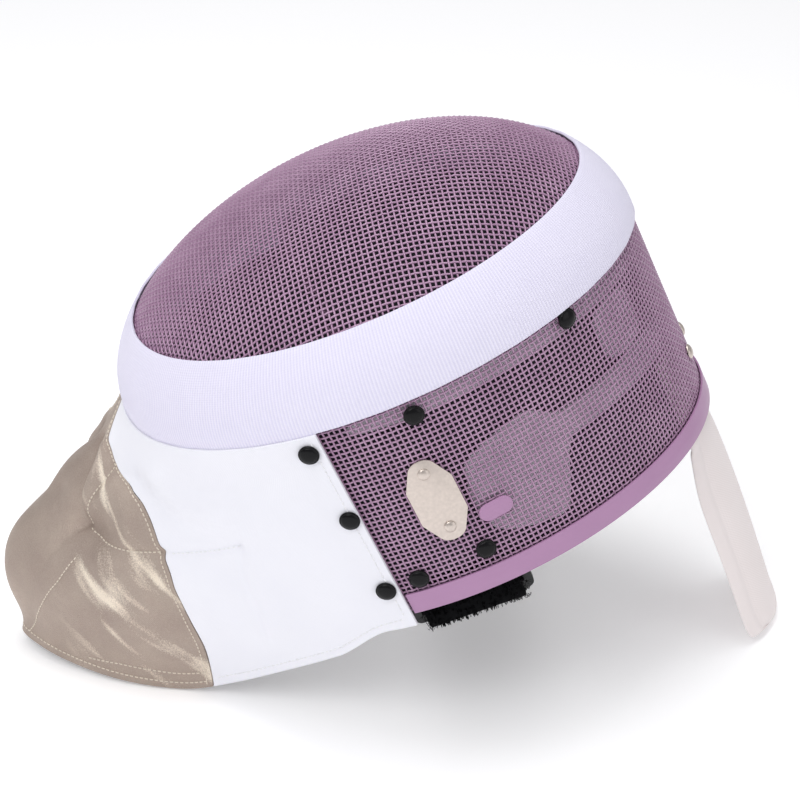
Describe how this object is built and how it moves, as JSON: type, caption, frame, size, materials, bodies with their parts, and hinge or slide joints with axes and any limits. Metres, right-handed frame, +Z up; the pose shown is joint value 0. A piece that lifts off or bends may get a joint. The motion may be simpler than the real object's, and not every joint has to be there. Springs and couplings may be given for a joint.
{
  "type": "fencing mask",
  "caption": "Fencing mask with a woven wire face and side mesh, elastic band, cloth bib with metallic front panel, spring tongue and back strap, lying on its bib and tongue.",
  "frame": {"origin": "middle of the bounding box at its base, the floor the mask lies on", "axes": "+X towards the top of the head, -X towards the bib, -Y the wearer's left, +Z up, away from the floor"},
  "size_m": [0.4798, 0.254, 0.3321],
  "materials": {
    "mesh_paint": "lilac paint on woven steel wire, satin",
    "rim_paint": "lilac paint on folded steel strip, satin",
    "elastic": "pale ribbed woven elastic",
    "white_cloth": "white padded cloth",
    "metallic_cloth": "champagne metallic woven cloth with a bright sheen",
    "lining_cloth": "pale grey padded lining",
    "lining_dark": "dark backing cloth of the lining",
    "tongue_cloth": "off-white padded cover",
    "black_enamel": "glossy black snap caps",
    "plated_steel": "warm plated steel, satin",
    "black_pile": "black loop pile",
    "black_plastic": "glossy black plastic"
  },
  "bodies": {
    "root": {"back_strap": "black_pile", "bib_front_panel": "metallic_cloth", "bib_side_left": "white_cloth", "bib_side_right": "white_cloth", "buckle_left": "black_plastic", "buckle_right": "black_plastic", "buckle_tab_left": "black_pile", "buckle_tab_right": "black_pile", "elastic_band": "elastic", "face_mesh": "mesh_paint", "lining_back_left": "lining_cloth", "lining_back_right": "lining_cloth", "lining_backing_left": "lining_dark", "lining_backing_right": "lining_dark", "lining_backing_top": "lining_dark", "lining_middle": "lining_cloth", "lining_temple_left": "lining_cloth", "lining_temple_right": "lining_cloth", "lining_upper": "lining_cloth", "plate_rivet_lower": "plated_steel", "plate_rivet_upper": "plated_steel", "rim_strip": "rim_paint", "side_mesh": "mesh_paint", "side_plate": "plated_steel", "side_tab": "rim_paint", "snap_bib_lower_left": "black_enamel", "snap_bib_lower_right": "black_enamel", "snap_bib_middle_left": "black_enamel", "snap_bib_middle_right": "black_enamel", "snap_bib_upper_left": "black_enamel", "snap_bib_upper_right": "black_enamel", "snap_crown_left": "black_enamel", "snap_crown_right": "black_enamel", "snap_rim_left": "black_enamel", "snap_rim_right": "black_enamel", "snap_strap_left": "black_enamel", "snap_strap_right": "black_enamel", "snap_temple_left": "black_enamel", "snap_temple_right": "black_enamel", "tongue": "tongue_cloth", "tongue_rivet_left": "plated_steel", "tongue_rivet_right": "plated_steel"}
  },
  "joints": []
}
